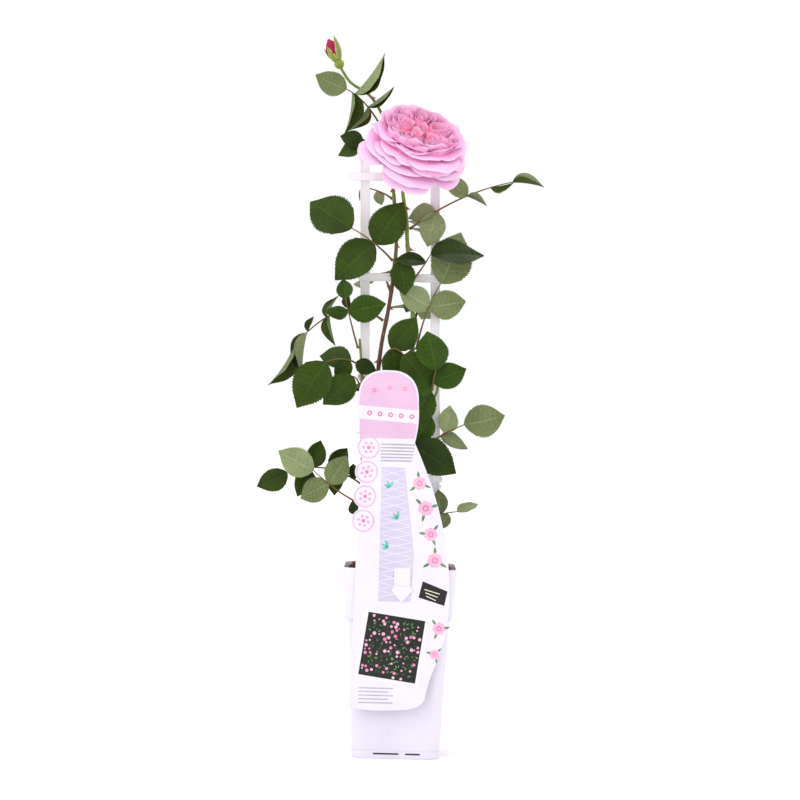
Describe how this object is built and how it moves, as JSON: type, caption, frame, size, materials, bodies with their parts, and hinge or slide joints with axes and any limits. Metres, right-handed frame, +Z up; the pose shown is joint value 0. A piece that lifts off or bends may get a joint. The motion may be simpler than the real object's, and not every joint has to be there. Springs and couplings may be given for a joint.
{
  "type": "potted rose bush",
  "caption": "Young rose bush in a tall square plastic pot, on a white plastic ladder, with an open double bloom, a bud, compound leaves and a die-cut card.",
  "frame": {"origin": "middle of the pot's flat underside", "axes": "+Z up, -Y to the side that the card and the bloom face, +X to the right of that side"},
  "size_m": [0.2992, 0.1824, 0.7651],
  "materials": {
    "bloom": "soft pink petals",
    "bloom_calyx": "pale green hip and sepals",
    "bud": "crimson petals",
    "bud_calyx": "pale green hip and sepals",
    "cane": "green bark with red prickles",
    "cane_thorny": "ripening red-brown bark with prickles",
    "label_card": "printed plastic card, pink and white",
    "label_clip": "white plastic",
    "leaf": "dark green leaf",
    "leaf_bright": "bright green leaf",
    "leaf_pale": "pale underside of the leaf",
    "pot": "satin moulded white plastic",
    "rail": "white moulded plastic",
    "rung": "white moulded plastic",
    "soil": "damp brown compost with grey crumbs"
  },
  "bodies": {
    "root": {"bloom": "bloom", "bloom_calyx": "bloom_calyx", "bud": "bud", "bud_calyx": "bud_calyx", "cane_arching": "cane", "cane_blooming": "cane", "cane_leafy": "cane", "cane_thorny": "cane_thorny", "label_card": "label_card", "label_clip": "label_clip", "leaf_back_high": "leaf", "leaf_back_left": "leaf", "leaf_back_low": "leaf_bright", "leaf_back_low_left": "leaf", "leaf_back_middle": "leaf", "leaf_back_right": "leaf", "leaf_big_dark": "leaf", "leaf_bloom_side": "leaf", "leaf_bright": "leaf_bright", "leaf_bright_low": "leaf_bright", "leaf_bud": "leaf_pale", "leaf_drooping": "leaf", "leaf_high_right": "leaf_pale", "leaf_inner": "leaf", "leaf_left_inner": "leaf", "leaf_left_middle": "leaf", "leaf_left_upper": "leaf", "leaf_low_left": "leaf_pale", "leaf_low_left_back": "leaf", "leaf_low_right": "leaf_pale", "leaf_middle": "leaf", "leaf_pale_right": "leaf_pale", "leaf_rim_left": "leaf", "leaf_rim_right": "leaf_pale", "leaf_rung_side": "leaf_pale", "leaf_shoulder": "leaf", "leaf_stalked": "leaf_bright", "pot": "pot", "rail_left": "rail", "rail_right": "rail", "rung_1": "rung", "rung_2": "rung", "rung_3": "rung", "rung_4": "rung", "soil": "soil"}
  },
  "joints": []
}
